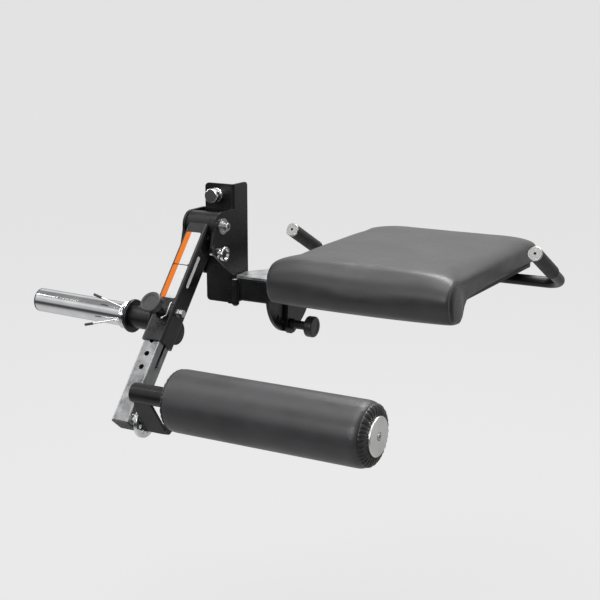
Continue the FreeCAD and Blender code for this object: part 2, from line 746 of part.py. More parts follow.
def make_carrier_gusset():
    """The web plate between the axle tube and the pivot, with a lug that guides the index pin."""
    left = CARRIER_LEFT + FLANGE_THICK
    corners = [
        (Vector(left, GUSSET_BACK, -8), 0),
        (Vector(103, GUSSET_BACK, -8), 8.0),
        (Vector(90, GUSSET_BACK, 70), 0),
        (Vector(left, GUSSET_BACK, 70), 0),
    ]
    web = Part.Face(rounded_outline(corners)).extrude(Vector(0, GUSSET_FRONT - GUSSET_BACK, 0))
    web = web.cut(x_rod(AXLE_RADIUS, 0, 200, 0, AXLE_OFFSET))
    y, z = index_pin_offset()
    lug = side_plate([(GUSSET_BACK, -6, 0), (GUSSET_BACK, 6, 0), (y + 9, z + 12, 4.0), (y + 9, z - 9, 6.0),
                      (y - 9, z - 9, 6.0), (GUSSET_FRONT, -8, 0), (GUSSET_FRONT, -6, 0)], 88, 93)
    lug = lug.cut(x_rod(INDEX_PIN_RADIUS + RUNNING_GAP, 0, 200, y, z))
    return on_carrier(fuse(web, lug))


def make_axle_tube():
    """The axle, with a threaded plug welded into its free end for the end disc's screw."""
    end = ROLLER_RIGHT - 4
    tube = x_ring(AXLE_RADIUS, AXLE_RADIUS - 3, CARRIER_LEFT, end, 0, AXLE_OFFSET)
    plug = x_ring(AXLE_RADIUS - 3, 4.0, end - 22, end, 0, AXLE_OFFSET)
    return on_carrier(fuse(tube, plug))


def make_axle_cap():
    rim = x_rod(AXLE_RADIUS, CARRIER_LEFT - 1.5, CARRIER_LEFT, 0, AXLE_OFFSET)
    plug = x_rod(AXLE_RADIUS - 3, CARRIER_LEFT, CARRIER_LEFT + 8, 0, AXLE_OFFSET)
    return on_carrier(fuse(rim, plug))


def make_roller_end_disc():
    disc = x_rod(ROLLER_DISC_RADIUS, ROLLER_RIGHT + 1, ROLLER_RIGHT + 7, 0, AXLE_OFFSET)
    disc = fillet_where(disc, 2.0, lambda middle, edge: middle.x > ROLLER_RIGHT + 6)
    spigot = x_rod(12.0, ROLLER_RIGHT - 4, ROLLER_RIGHT + 1, 0, AXLE_OFFSET)
    recess = x_rod(8.0, ROLLER_RIGHT + 3, ROLLER_RIGHT + 8, 0, AXLE_OFFSET)
    bore = x_rod(4.0, ROLLER_RIGHT - 5, ROLLER_RIGHT + 8, 0, AXLE_OFFSET)
    return on_carrier(fuse(disc, spigot).cut(recess).cut(bore))


def make_roller_end_screw():
    seat = ROLLER_RIGHT + 3
    head = x_rod(6.5, seat, seat + 5, 0, AXLE_OFFSET)
    head = fillet_where(head, 1.2, lambda middle, edge: middle.x > seat + 4)
    shank = x_rod(3.95, seat - 24, seat, 0, AXLE_OFFSET)
    socket = hexagon_rod(5.0, (seat + 2, 0, AXLE_OFFSET), (seat + 6, 0, AXLE_OFFSET))
    return on_carrier(fuse(head, shank).cut(socket))


def make_index_pin():
    """The pull pin that holds the carrier's angle, with a knurled tip to pull."""
    y, z = index_pin_offset()
    pin = x_rod(INDEX_PIN_RADIUS, DISC_FAR + 0.4, 127, y, z)
    tip = x_rod(5.5, 126, 134, y, z)
    return on_carrier(fuse(pin, fillet_where(tip, 1.5, lambda middle, edge: middle.x > 133)))


# ---------------------------------------------------------------- roller

def make_roller_core():
    core = x_ring(CORE_RADIUS, CORE_RADIUS - 2, ROLLER_LEFT + 3, ROLLER_RIGHT - 3, 0, AXLE_OFFSET)
    return on_carrier(core)


def make_roller_bushings():
    bushes = []
    for low, high in ((ROLLER_LEFT + 3, ROLLER_LEFT + 28), (ROLLER_RIGHT - 30, ROLLER_RIGHT - 5)):
        bushes.append(x_ring(CORE_RADIUS - 2, AXLE_RADIUS + RUNNING_GAP, low, high, 0, AXLE_OFFSET))
    return on_carrier(Part.makeCompound(bushes))


def make_roller_pad():
    pad = x_rod(ROLLER_RADIUS, ROLLER_LEFT, ROLLER_RIGHT, 0, AXLE_OFFSET)
    pad = fillet_where(pad, 20.0, lambda middle, edge: middle.x > ROLLER_RIGHT - 1)
    pad = fillet_where(pad, 12.0, lambda middle, edge: middle.x < ROLLER_LEFT + 1)
    return on_carrier(pad.cut(x_rod(CORE_RADIUS, 0, 700, 0, AXLE_OFFSET)))


# ---------------------------------------------------------------- seat arm

def hinge_rod(radius, z0, z1):
    return rod(radius, (HINGE_X, HINGE_Y, z0), (HINGE_X, HINGE_Y, z1))


def make_hinge_knuckles():
    """The two fixed knuckles, each with a leaf welded to the bracket's front corner."""
    knuckles = []
    for low, high in ((HINGE_TOP - 9, HINGE_TOP), (HINGE_BOTTOM, HINGE_BOTTOM + 9)):
        barrel = hinge_rod(HINGE_RADIUS, low, high)
        leaf = block(24, HINGE_X, HINGE_Y - 1, FRONT_FACE, low, high)
        knuckle = fuse(barrel, leaf).cut(hinge_rod(HINGE_PIN_RADIUS, low - 1, high + 1))
        knuckles.append(knuckle)
    return Part.makeCompound(knuckles)


def make_hinge_pin():
    shank = hinge_rod(HINGE_PIN_RADIUS, HINGE_BOTTOM - 3, HINGE_TOP)
    head = hinge_rod(HINGE_RADIUS - 1, HINGE_TOP, HINGE_TOP + 2)
    return fuse(shank, fillet_where(head, 0.8, lambda middle, edge: middle.z > HINGE_TOP + 1.5))


def make_arm_knuckle():
    low = HINGE_BOTTOM + 9.3
    high = HINGE_TOP - 9.3
    barrel = hinge_rod(HINGE_RADIUS, low, high)
    leaf = block(HINGE_X, ARM_LEFT, HINGE_Y - 1, HINGE_Y + 6, low, high)
    wing = block(ARM_LEFT - 4, ARM_LEFT, HINGE_Y - 1, ARM_Y, low, high)
    return fuse(barrel, leaf, wing).cut(hinge_rod(HINGE_PIN_RADIUS + RUNNING_GAP, low - 1, high + 1))


def make_seat_arm_tube():
    return x_square_tube(ARM_HALF, ARM_WALL, 5.0, ARM_LEFT, ARM_RIGHT, ARM_Y, ARM_Z)


def make_arm_top_plate():
    """The bright gusset plate on the arm, with a hole for a lock pin."""
    outline = [
        (40.0, -2.0, 2.0),
        (46.0, -12.0, 3.0),
        (ARM_RIGHT, -12.0, 0),
        (ARM_RIGHT, 108.0, 6.0),
        (84.0, 108.0, 10.0),
        (40.0, 38.0, 6.0),
    ]
    top = ARM_Z + ARM_HALF
    plate = flat_plate(outline, top, top + 5)
    return plate.cut(rod(5.0, (LOCK_X, LOCK_Y, top - 1), (LOCK_X, LOCK_Y, top + 6)))


def tilt_point(circle, angle_degrees):
    angle = math.radians(angle_degrees)
    return TILT_Y + circle * math.cos(angle), TILT_Z + circle * math.sin(angle)


def make_tilt_sector():
    """The index plate on the arm's end: round below the tilt pivot, with a row of holes."""
    disc = x_rod(SECTOR_RADIUS, SECTOR_LEFT, SECTOR_RIGHT, TILT_Y, TILT_Z)
    disc = disc.cut(block(0, 200, -200, 400, TILT_Z + 12, 100))
    root_plate = side_plate([
        (ARM_Y - ARM_HALF, ARM_Z - ARM_HALF, 3.0),
        (TILT_Y + 34, ARM_Z - ARM_HALF, 3.0),
        (TILT_Y + 34, ARM_Z + ARM_HALF, 8.0),
        (ARM_Y - ARM_HALF, ARM_Z + ARM_HALF, 3.0),
    ], SECTOR_LEFT, SECTOR_RIGHT)
    sector = fuse(disc, root_plate)
    sector = sector.cut(x_rod(8.0, 100, 200, TILT_Y, TILT_Z))
    for i in range(-2, 5):
        y, z = tilt_point(TILT_CIRCLE, TILT_PIN_ANGLE - i * TILT_STEP)
        sector = sector.cut(x_rod(5.4, 100, 200, y, z))
    return sector


def make_tilt_pivot():
    """The headed pin the seat tilts on, held in the sector and free in the cheek."""
    head = hexagon_rod(24.0, (SECTOR_LEFT - 10, TILT_Y, TILT_Z), (SECTOR_LEFT, TILT_Y, TILT_Z))
    shank = x_rod(8.0, SECTOR_LEFT, CHEEK_RIGHT + 10, TILT_Y, TILT_Z)
    collar = x_rod(14.0, CHEEK_RIGHT + 0.3, CHEEK_RIGHT + 8, TILT_Y, TILT_Z)
    return fuse(head, shank, collar)


# ---------------------------------------------------------------- seat

TILT_PIN_Y, TILT_PIN_Z = tilt_point(TILT_CIRCLE, TILT_PIN_ANGLE)


def make_tilt_cheek():
    outline = [
        (TILT_Y - BEAM_HALF, BEAM_TOP, 3.0),
        (TILT_Y - BEAM_HALF, TILT_Z - 20, 12.0),
        (TILT_PIN_Y - 20, TILT_PIN_Z - 21, 19.0),
        (TILT_PIN_Y + 20, TILT_PIN_Z - 21, 19.0),
        (TILT_Y + BEAM_HALF + 10, TILT_Z - 20, 12.0),
        (TILT_Y + BEAM_HALF + 10, BEAM_TOP, 3.0),
    ]
    plate = side_plate(outline, CHEEK_LEFT, CHEEK_RIGHT)
    plate = plate.cut(x_rod(8.0 + RUNNING_GAP, 100, 200, TILT_Y, TILT_Z))
    return plate.cut(x_rod(8.0, 100, 200, TILT_PIN_Y, TILT_PIN_Z))


def make_seat_beam():
    return x_square_tube(BEAM_HALF, 3.0, 5.0, CHEEK_RIGHT, BEAM_RIGHT, TILT_Y, TILT_Z)


def make_beam_cap():
    """The plastic plug that closes the seat beam's free end."""
    plug = x_square_tube(BEAM_HALF - 3.0, 2.0, 3.5, BEAM_RIGHT - 12, BEAM_RIGHT, TILT_Y, TILT_Z)
    outline = [
        (TILT_Y - BEAM_HALF, TILT_Z - BEAM_HALF, 5.0),
        (TILT_Y + BEAM_HALF, TILT_Z - BEAM_HALF, 5.0),
        (TILT_Y + BEAM_HALF, TILT_Z + BEAM_HALF, 5.0),
        (TILT_Y - BEAM_HALF, TILT_Z + BEAM_HALF, 5.0),
    ]
    return fuse(plug, side_plate(outline, BEAM_RIGHT, BEAM_RIGHT + 3))


def make_tilt_plunger_body():
    start = CHEEK_RIGHT
    shank = x_rod(8.0, CHEEK_LEFT + 0.4, start, TILT_PIN_Y, TILT_PIN_Z)
    nut = hexagon_rod(22.0, (start, TILT_PIN_Y, TILT_PIN_Z), (start + 8, TILT_PIN_Y, TILT_PIN_Z))
    barrel = x_rod(9.5, start + 8, start + 34, TILT_PIN_Y, TILT_PIN_Z)
    bore = x_rod(PLUNGER_PIN_RADIUS + RUNNING_GAP, 100, 300, TILT_PIN_Y, TILT_PIN_Z)
    return fuse(shank, nut, barrel).cut(bore)


def make_tilt_plunger_knob():
    near = CHEEK_RIGHT + 35
    far = near + 24
    pin = x_rod(PLUNGER_PIN_RADIUS, CHEEK_LEFT, near + 3, TILT_PIN_Y, TILT_PIN_Z)
    stem = x_rod(13.0, near, near + 6, TILT_PIN_Y, TILT_PIN_Z)
    head = x_rod(KNOB_RADIUS, near + 5, far, TILT_PIN_Y, TILT_PIN_Z)
    head = fillet_where(head, 4.0, lambda middle, edge: edge.Length > 60)
    dimple = x_rod(KNOB_RADIUS - 10, far - 0.8, far + 1, TILT_PIN_Y, TILT_PIN_Z)
    return fuse(pin, stem, head).cut(dimple)


def make_seat_board():
    inset = 22.0
    outline = [
        (CUSHION_LEFT + inset, BOARD_FRONT, 10.0),
        (CUSHION_RIGHT - inset, BOARD_FRONT, 10.0),
        (CUSHION_RIGHT - inset, CUSHION_BACK - inset, 40.0),
        (CUSHION_LEFT + inset, CUSHION_BACK - inset, 40.0),
    ]
    board = flat_plate(outline, CUSHION_BASE - BOARD, CUSHION_BASE)
    for x, y in BOARD_SCREWS:
        board = board.cut(rod(4.0, (x, y, CUSHION_BASE - BOARD - 1), (x, y, CUSHION_BASE + 1)))
    return board


def make_board_screws():
    screws = []
    for x, y in BOARD_SCREWS:
        under = CUSHION_BASE - BOARD
        head = rod(7.0, (x, y, under - 4), (x, y, under))
        shank = rod(3.9, (x, y, under), (x, y, CUSHION_BASE))
        screws.append(fuse(fillet_where(head, 1.0, lambda middle, edge: middle.z < under - 3), shank))
    return Part.makeCompound(screws)


def make_seat_rails():
    """Two flat bars under the board, from the beam back over the handle tube."""
    top = CUSHION_BASE - BOARD
    rails = []
    for side in (-1, 1):
        middle = SEAT_MIDDLE + side * 110
        bar = block(middle - 20, middle + 20, TILT_Y + BEAM_HALF, HANDLE_Y + 18, top - RAIL, top)
        bar = fillet_where(bar, 5.0, lambda place, edge: place.y > HANDLE_Y + 17 and edge.Length < RAIL + 1)
        rails.append(bar)
    return Part.makeCompound(rails)


def make_cushion():
    profile = [
        (CUSHION_BACK, CUSHION_TOP, 18.0),
        (CUSHION_FRONT, CUSHION_TOP, 50.0),
        (CUSHION_FRONT + 4, -186.0, 40.0),
        (CUSHION_FRONT + 26, LIP_BOTTOM, 18.0),
        (24.0, LIP_BOTTOM, 22.0),
        (52.0, CUSHION_BASE, 14.0),
        (CUSHION_BACK, CUSHION_BASE, 14.0),
    ]
    body = side_plate(profile, CUSHION_LEFT, CUSHION_RIGHT)
    plan = [
        (CUSHION_LEFT, CUSHION_FRONT, 22.0),
        (CUSHION_RIGHT, CUSHION_FRONT, 22.0),
        (CUSHION_RIGHT, CUSHION_BACK, 60.0),
        (CUSHION_LEFT, CUSHION_BACK, 60.0),
    ]
    return body.common(flat_plate(plan, -300, 0))


def handle_direction():
    return Vector(0, CAP_Y - HANDLE_Y, CAP_Z - HANDLE_Z).normalize()


def handle_end():
    """Where the bare tube ends, just under the end cap's face, in the seat's middle frame."""
    return Vector(HANDLE_SPREAD, CAP_Y, CAP_Z) - handle_direction() * CAP


def make_handle_bar():
    end = handle_end()
    half_route = [(0, HANDLE_Y, HANDLE_Z), (HANDLE_SPREAD, HANDLE_Y, HANDLE_Z), (end.x, end.y, end.z)]
    half = bent_wire(half_route, HANDLE_RADIUS, 38.0)
    half.translate(Vector(SEAT_MIDDLE, 0, 0))
    return fuse(half, mirrored_x(half, SEAT_MIDDLE))


def both_handles(shape):
    shape.translate(Vector(SEAT_MIDDLE, 0, 0))
    return Part.makeCompound([shape, mirrored_x(shape, SEAT_MIDDLE)])


def make_handle_grips():
    end = handle_end()
    start = end - handle_direction() * GRIP_LENGTH
    grip = ring(GRIP_RADIUS, HANDLE_RADIUS, start, end)
    grip = fillet_where(grip, 1.2, lambda middle, edge: edge.Length > 90 and middle.y > CAP_Y + 50)
    return both_handles(grip)


def make_handle_caps():
    end = handle_end()
    tip = end + handle_direction() * CAP
    cap = rod(GRIP_RADIUS, end, tip)
    cap = fillet_where(cap, 1.5, lambda middle, edge: edge.Length > 90 and middle.y < end.y - 2)
    hole = rod(3.0, end, tip + handle_direction())
    return both_handles(cap.cut(hole))


# ---------------------------------------------------------------- build every piece

def build():
    os.makedirs("parts", exist_ok=True)
    pieces = {
        "mount_bracket": make_mount_bracket,
        "bracket_liner": make_bracket_liner,
        "mounting_pin_bushing": make_pin_bushing,
        "mounting_pin": make_mounting_pin,
        "pivot_yoke": make_pivot_yoke,
        "pivot_shaft": make_pivot_shaft,
        "pivot_washers": make_pivot_washers,
        "pivot_screws": make_pivot_screws,
        "stop_pin_bushing": make_stop_bushing,
        "stop_pin": make_stop_pin,
        "lever_barrel": make_lever_barrel,
        "barrel_bushings": make_barrel_bushings,
        "grease_nipple": make_grease_nipple,
        "lever_sleeve": make_lever_sleeve,
        "sleeve_guides": make_sleeve_guides,
        "sleeve_labels": make_sleeve_labels,
        "length_plunger_body": make_length_plunger_body,
        "length_plunger_knob": make_length_plunger_knob,
        "keeper_wire": make_keeper_wire,
        "clamp_screw": make_clamp_screw,
        "rear_bumper": make_rear_bumper,
        "post_socket": make_post_socket,
        "weight_post": make_weight_post,
        "post_cap": make_post_cap,
        "spring_collar": make_spring_collar,
        "collar_grips": make_collar_grips,
        "sliding_tube": make_sliding_tube,
        "tube_end_cap": make_tube_end_cap,
        "index_disc": make_index_disc,
        "carrier_pivot_bolt": make_carrier_pivot_bolt,
        "carrier_flange": make_carrier_flange,
        "carrier_gusset": make_carrier_gusset,
        "axle_tube": make_axle_tube,
        "axle_cap": make_axle_cap,
        "roller_end_disc": make_roller_end_disc,
        "roller_end_screw": make_roller_end_screw,
        "index_pin": make_index_pin,
        "roller_core": make_roller_core,
        "roller_bushings": make_roller_bushings,
        "roller_pad": make_roller_pad,
        "hinge_knuckles": make_hinge_knuckles,
        "hinge_pin": make_hinge_pin,
        "arm_knuckle": make_arm_knuckle,
        "seat_arm_tube": make_seat_arm_tube,
        "arm_top_plate": make_arm_top_plate,
        "tilt_sector": make_tilt_sector,
        "tilt_pivot": make_tilt_pivot,
        "tilt_cheek": make_tilt_cheek,
        "seat_beam": make_seat_beam,
        "beam_cap": make_beam_cap,
        "tilt_plunger_body": make_tilt_plunger_body,
        "tilt_plunger_knob": make_tilt_plunger_knob,
        "seat_board": make_seat_board,
        "board_screws": make_board_screws,
        "seat_rails": make_seat_rails,
        "handle_bar": make_handle_bar,
        "handle_grips": make_handle_grips,
        "handle_caps": make_handle_caps,
        "seat_cushion": make_cushion,
    }
    for name, make in pieces.items():
        export(name, make())


build()
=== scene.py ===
import json
import math
import random

import bpy
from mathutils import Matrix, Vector
from mathutils.bvhtree import BVHTree


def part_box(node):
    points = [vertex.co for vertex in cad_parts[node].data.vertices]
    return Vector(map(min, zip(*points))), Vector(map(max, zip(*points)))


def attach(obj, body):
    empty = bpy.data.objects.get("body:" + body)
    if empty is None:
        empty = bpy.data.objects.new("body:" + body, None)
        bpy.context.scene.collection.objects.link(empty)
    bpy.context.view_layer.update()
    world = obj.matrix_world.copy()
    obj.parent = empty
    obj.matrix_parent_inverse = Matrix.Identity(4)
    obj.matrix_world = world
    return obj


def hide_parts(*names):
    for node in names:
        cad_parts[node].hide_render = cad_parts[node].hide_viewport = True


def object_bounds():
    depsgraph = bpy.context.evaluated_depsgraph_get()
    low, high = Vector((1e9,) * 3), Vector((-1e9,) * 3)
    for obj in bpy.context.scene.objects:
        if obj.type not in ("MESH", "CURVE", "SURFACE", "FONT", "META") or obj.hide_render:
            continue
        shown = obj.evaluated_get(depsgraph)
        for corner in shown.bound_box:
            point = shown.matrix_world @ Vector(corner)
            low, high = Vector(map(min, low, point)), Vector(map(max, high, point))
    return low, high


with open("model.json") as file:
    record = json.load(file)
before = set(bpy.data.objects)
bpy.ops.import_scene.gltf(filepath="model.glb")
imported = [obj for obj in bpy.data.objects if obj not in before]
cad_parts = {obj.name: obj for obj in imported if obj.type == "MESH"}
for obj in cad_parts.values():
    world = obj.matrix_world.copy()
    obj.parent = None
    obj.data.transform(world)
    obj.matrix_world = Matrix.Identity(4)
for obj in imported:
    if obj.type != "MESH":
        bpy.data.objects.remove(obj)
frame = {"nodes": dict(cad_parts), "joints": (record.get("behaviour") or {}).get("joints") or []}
CAD_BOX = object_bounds()
NODES = frame["nodes"]
JOINTS = {joint["name"]: joint for joint in frame["joints"]}

MM = 0.001

# ---------------------------------------------------------------- camera, floor and light

CAMERA_PLACE = Vector((1.4881, -2.2836, 0.4040))
CAMERA_LOOK = Vector((-0.47949, 0.84729, -0.22845))
CAMERA_LENS = 76.6
CAMERA_SENSOR = 36.0
CAMERA_NEAR = 0.05
CAMERA_FAR = 6000.0

FLOOR_DROP = 0.55
FLOOR_HALF = 3000.0
FLOOR_GLOW = 0.92
PAPER = (0.76, 0.76, 0.76)

LIT_POINT = (0.15, -0.05, -0.2)
# (name, place, width, height, power)
AREA_LIGHTS = (
    ("top_light", (0.5, 1.3, 2.3), 2.6, 1.0, 105),
    ("left_light", (-2.6, -1.0, 1.2), 0.6, 1.8, 26),
    ("front_light", (0.2, -3.4, 0.9), 1.8, 0.8, 46),
)
SUN_POWER = 2.1
SUN_ANGLE = math.radians(50)
SUN_TILT = (math.radians(14), math.radians(-6), 0)

# The studio seen in reflections: (height from straight down at 0 to straight up at 1, brightness)
STUDIO_RINGS = (
    (0.0, 0.50), (0.08, 0.66), (0.22, 0.55), (0.34, 0.12), (0.40, 0.05), (0.48, 0.10),
    (0.55, 0.50), (0.66, 0.58), (0.78, 0.90), (0.87, 0.26), (1.0, 0.40),
)
STUDIO_BLUE = 1.01
WALL_TOWARDS = (0.5, 0.85, 0.0)
WALL_START = 0.45
WALL_BRIGHTNESS = 0.55

# Where the Mix Color node keeps its colour sockets
MIX_A, MIX_B, MIX_OUT = 6, 7, 2


def make_camera():
    data = bpy.data.cameras.new("camera")
    data.lens = CAMERA_LENS
    data.sensor_width = CAMERA_SENSOR
    data.clip_start = CAMERA_NEAR
    data.clip_end = CAMERA_FAR
    camera = bpy.data.objects.new("camera", data)
    bpy.context.scene.collection.objects.link(camera)
    camera.location = CAMERA_PLACE
    camera.rotation_euler = CAMERA_LOOK.to_track_quat("-Z", "Y").to_euler()
    bpy.context.scene.camera = camera


def make_floor():
    level = CAD_BOX[0].z - FLOOR_DROP
    ends = ((-1, -1), (1, -1), (1, 1), (-1, 1))
    corners = [(FLOOR_HALF * x, FLOOR_HALF * y, level) for x, y in ends]
    mesh = bpy.data.meshes.new("floor")
    mesh.from_pydata(corners, [], [(0, 1, 2, 3)])
    floor = bpy.data.objects.new("floor", mesh)
    bpy.context.scene.collection.objects.link(floor)
    floor.data.materials.append(floor_material())
    floor.visible_glossy = False
    floor.visible_diffuse = False


def make_area_light(name, place, width, height, power):
    data = bpy.data.lights.new(name, "AREA")
    data.shape = "RECTANGLE"
    data.size = width
    data.size_y = height
    data.energy = power
    light = bpy.data.objects.new(name, data)
    bpy.context.scene.collection.objects.link(light)
    light.location = place
    light.rotation_euler = (Vector(LIT_POINT) - Vector(place)).to_track_quat("-Z", "Y").to_euler()


def make_lights():
    for row in AREA_LIGHTS:
        make_area_light(*row)
    data = bpy.data.lights.new("even_light", "SUN")
    data.energy = SUN_POWER
    data.angle = SUN_ANGLE
    sun = bpy.data.objects.new("even_light", data)
    bpy.context.scene.collection.objects.link(sun)
    sun.rotation_euler = SUN_TILT


def make_world():
    """A soft studio for reflections, with a pale wall behind. The camera sees plain pale paper."""
    world = bpy.data.worlds.new("studio")
    bpy.context.scene.world = world
    world.use_nodes = True
    nodes, links = world.node_tree.nodes, world.node_tree.links
    background = nodes["Background"]
    background.inputs["Strength"].default_value = 1.0
    place = nodes.new("ShaderNodeTexCoord").outputs["Generated"]
    split = nodes.new("ShaderNodeSeparateXYZ")
    links.new(place, split.inputs[0])
    height = nodes.new("ShaderNodeMapRange")
    height.inputs["From Min"].default_value = -1.0
    links.new(split.outputs["Z"], height.inputs["Value"])
    rings = nodes.new("ShaderNodeValToRGB")
    links.new(height.outputs["Result"], rings.inputs[0])
    while len(rings.color_ramp.elements) < len(STUDIO_RINGS):
        rings.color_ramp.elements.new(0.5)
    for element, (position, level) in zip(rings.color_ramp.elements, STUDIO_RINGS):
        element.position = position
        element.color = (level, level, level * STUDIO_BLUE, 1.0)
    behind = nodes.new("ShaderNodeVectorMath")
    behind.operation = "DOT_PRODUCT"
    links.new(place, behind.inputs[0])
    behind.inputs[1].default_value = WALL_TOWARDS
    wall = nodes.new("ShaderNodeMapRange")
    wall.inputs["From Min"].default_value = WALL_START
    wall.inputs["To Max"].default_value = WALL_BRIGHTNESS
    links.new(behind.outputs["Value"], wall.inputs["Value"])
    brighter = nodes.new("ShaderNodeMix")
    brighter.data_type = "RGBA"
    brighter.blend_type = "LIGHTEN"
    brighter.inputs[0].default_value = 1.0
    links.new(rings.outputs[0], brighter.inputs[MIX_A])
    links.new(wall.outputs["Result"], brighter.inputs[MIX_B])
    rays = nodes.new("ShaderNodeLightPath")
    seen = nodes.new("ShaderNodeMix")
    seen.data_type = "RGBA"
    links.new(rays.outputs["Is Camera Ray"], seen.inputs[0])
    links.new(brighter.outputs[MIX_OUT], seen.inputs[MIX_A])
    seen.inputs[MIX_B].default_value = (*PAPER, 1.0)
    links.new(seen.outputs[MIX_OUT], background.inputs["Color"])
    bpy.context.scene.view_settings.view_transform = "Standard"


# ---------------------------------------------------------------- material building blocks

EDGE_TURN = 0.86
MID_LOW, MID_HIGH = 0.3, 0.7


class Surface:
    """A new material with a principled shader and small helpers to wire nodes into it."""

    def __init__(self, name, color, roughness, metallic=0.0):
        self.material = bpy.data.materials.new(name)
        self.material.use_nodes = True
        self.tree = self.material.node_tree
        self.shader = self.tree.nodes["Principled BSDF"]
        self.set("Base Color", (*color, 1.0))
        self.set("Roughness", roughness)
        self.set("Metallic", metallic)
        self.place = self.add("ShaderNodeTexCoord").outputs["Object"]
        self.relief = None

    def set(self, socket, value):
        self.shader.inputs[socket].default_value = value

    def add(self, kind, **values):
        node = self.tree.nodes.new(kind)
        for key, value in values.items():
            setattr(node, key, value)
        return node

    def link(self, source, target):
        self.tree.links.new(source, target)

    def math(self, operation, a, b=None, clamp=False):
        node = self.add("ShaderNodeMath", operation=operation, use_clamp=clamp)
        for socket, value in zip(node.inputs, (a, b)):
            if value is None:
                continue
            if isinstance(value, (int, float)):
                socket.default_value = value
            else:
                self.link(value, socket)
        return node.outputs[0]

    def along(self, direction, origin=(0, 0, 0)):
        """The distance along a direction, measured from a point."""
        shift = self.add("ShaderNodeVectorMath", operation="SUBTRACT")
        self.link(self.place, shift.inputs[0])
        shift.inputs[1].default_value = origin
        dot = self.add("ShaderNodeVectorMath", operation="DOT_PRODUCT")
        self.link(shift.outputs[0], dot.inputs[0])
        dot.inputs[1].default_value = direction
        return dot.outputs["Value"]

    def stretched(self, direction, along_scale, across_scale):
        """Coordinates squeezed along one direction, so that noise on them runs in streaks."""
        direction = Vector(direction).normalized()
        side = direction.orthogonal().normalized()
        other = direction.cross(side)
        combine = self.add("ShaderNodeCombineXYZ")
        for socket, axis, scale in zip(combine.inputs, (direction, side, other),
                                       (along_scale, across_scale, across_scale)):
            self.link(self.math("MULTIPLY", self.along(axis), scale), socket)
        return combine.outputs[0]

    def noise(self, scale, detail=3.0, rough=0.55, place=None):
        node = self.add("ShaderNodeTexNoise")
        node.inputs["Scale"].default_value = scale
        node.inputs["Detail"].default_value = detail
        node.inputs["Roughness"].default_value = rough
        self.link(place or self.place, node.inputs["Vector"])
        return node.outputs["Fac"]

    def cells(self, scale, feature="F1"):
        node = self.add("ShaderNodeTexVoronoi", feature=feature)
        node.inputs["Scale"].default_value = scale
        self.link(self.place, node.inputs["Vector"])
        return node.outputs["Distance"]

    def spread(self, value, low, high, out_low=0.0, out_high=1.0):
        node = self.add("ShaderNodeMapRange")
        numbers = {"From Min": low, "From Max": high, "To Min": out_low, "To Max": out_high}
        for socket, number in numbers.items():
            node.inputs[socket].default_value = number
        self.link(value, node.inputs["Value"])
        return node.outputs["Result"]

    def mix(self, factor, color_a, color_b):
        node = self.add("ShaderNodeMix", data_type="RGBA")
        self.link(factor, node.inputs[0])
        for socket, color in ((node.inputs[MIX_A], color_a), (node.inputs[MIX_B], color_b)):
            if isinstance(color, tuple):
                socket.default_value = (*color, 1.0)
            else:
                self.link(color, socket)
        return node.outputs[MIX_OUT]

    def rounded_normal(self, radius):
        bevel = self.add("ShaderNodeBevel", samples=4)
        bevel.inputs["Radius"].default_value = radius
        return bevel.outputs[0]

    def edges(self, radius):
        """One near sharp edges, nought on flat faces."""
        rounded = self.rounded_normal(radius)
        normal = self.add("ShaderNodeNewGeometry").outputs["Normal"]
        dot = self.add("ShaderNodeVectorMath", operation="DOT_PRODUCT")
        self.link(rounded, dot.inputs[0])
        self.link(normal, dot.inputs[1])
        return self.spread(dot.outputs["Value"], 1.0, EDGE_TURN)

    def soften(self, radius):
        """Rounds the look of sharp edges."""
        self.relief = self.rounded_normal(radius)
        self.link(self.relief, self.shader.inputs["Normal"])

    def bump(self, height, depth, strength=1.0):
        node = self.add("ShaderNodeBump")
        node.inputs["Strength"].default_value = strength
        node.inputs["Distance"].default_value = depth
        self.link(height, node.inputs["Height"])
        if self.relief is not None:
            self.link(self.relief, node.inputs["Normal"])
        self.relief = node.outputs[0]
        self.link(self.relief, self.shader.inputs["Normal"])

    def vary_roughness(self, value, low, high):
        self.link(self.spread(value, MID_LOW, MID_HIGH, low, high), self.shader.inputs["Roughness"])

    def paint(self, color):
        self.link(color, self.shader.inputs["Base Color"])


def floor_material():
    surface = Surface("floor_paint", (0.06, 0.06, 0.06), 0.9)
    surface.vary_roughness(surface.noise(3.0), 0.85, 0.95)
    surface.set("Specular IOR Level", 0.0)
    surface.set("Emission Color", (*PAPER, 1.0))
    surface.set("Emission Strength", FLOOR_GLOW)
    return surface.material


# ---------------------------------------------------------------- materials of the machine

LEVER_DOWN = Vector(JOINTS["arm_length"]["axis"]).normalized()
LEVER_FRONT = Vector(JOINTS["length_plunger_pull"]["axis"]).normalized()
PIVOT = Vector(JOINTS["lever_swing"]["pos_m"])

ACROSS, ALONG_SEAT = (1, 0, 0), (0, 1, 0)

# Lever's films: the orange band's inner edge, the side film's face, its ticks and where they start
BAND_EDGE = -6.0 * MM
BAND_BLUR = 0.1 * MM
SIDE_FILM = 24 * MM
TICK_SPACING = 2.5 * MM
TICK_CORE, TICK_FADE = 0.25 * MM, 0.55 * MM
TICK_REACH = 15.5 * MM

# Width of the band of painted shade along each cushion seam
PAINTED_SEAM_SHADE_WIDTH = 1.3 * MM


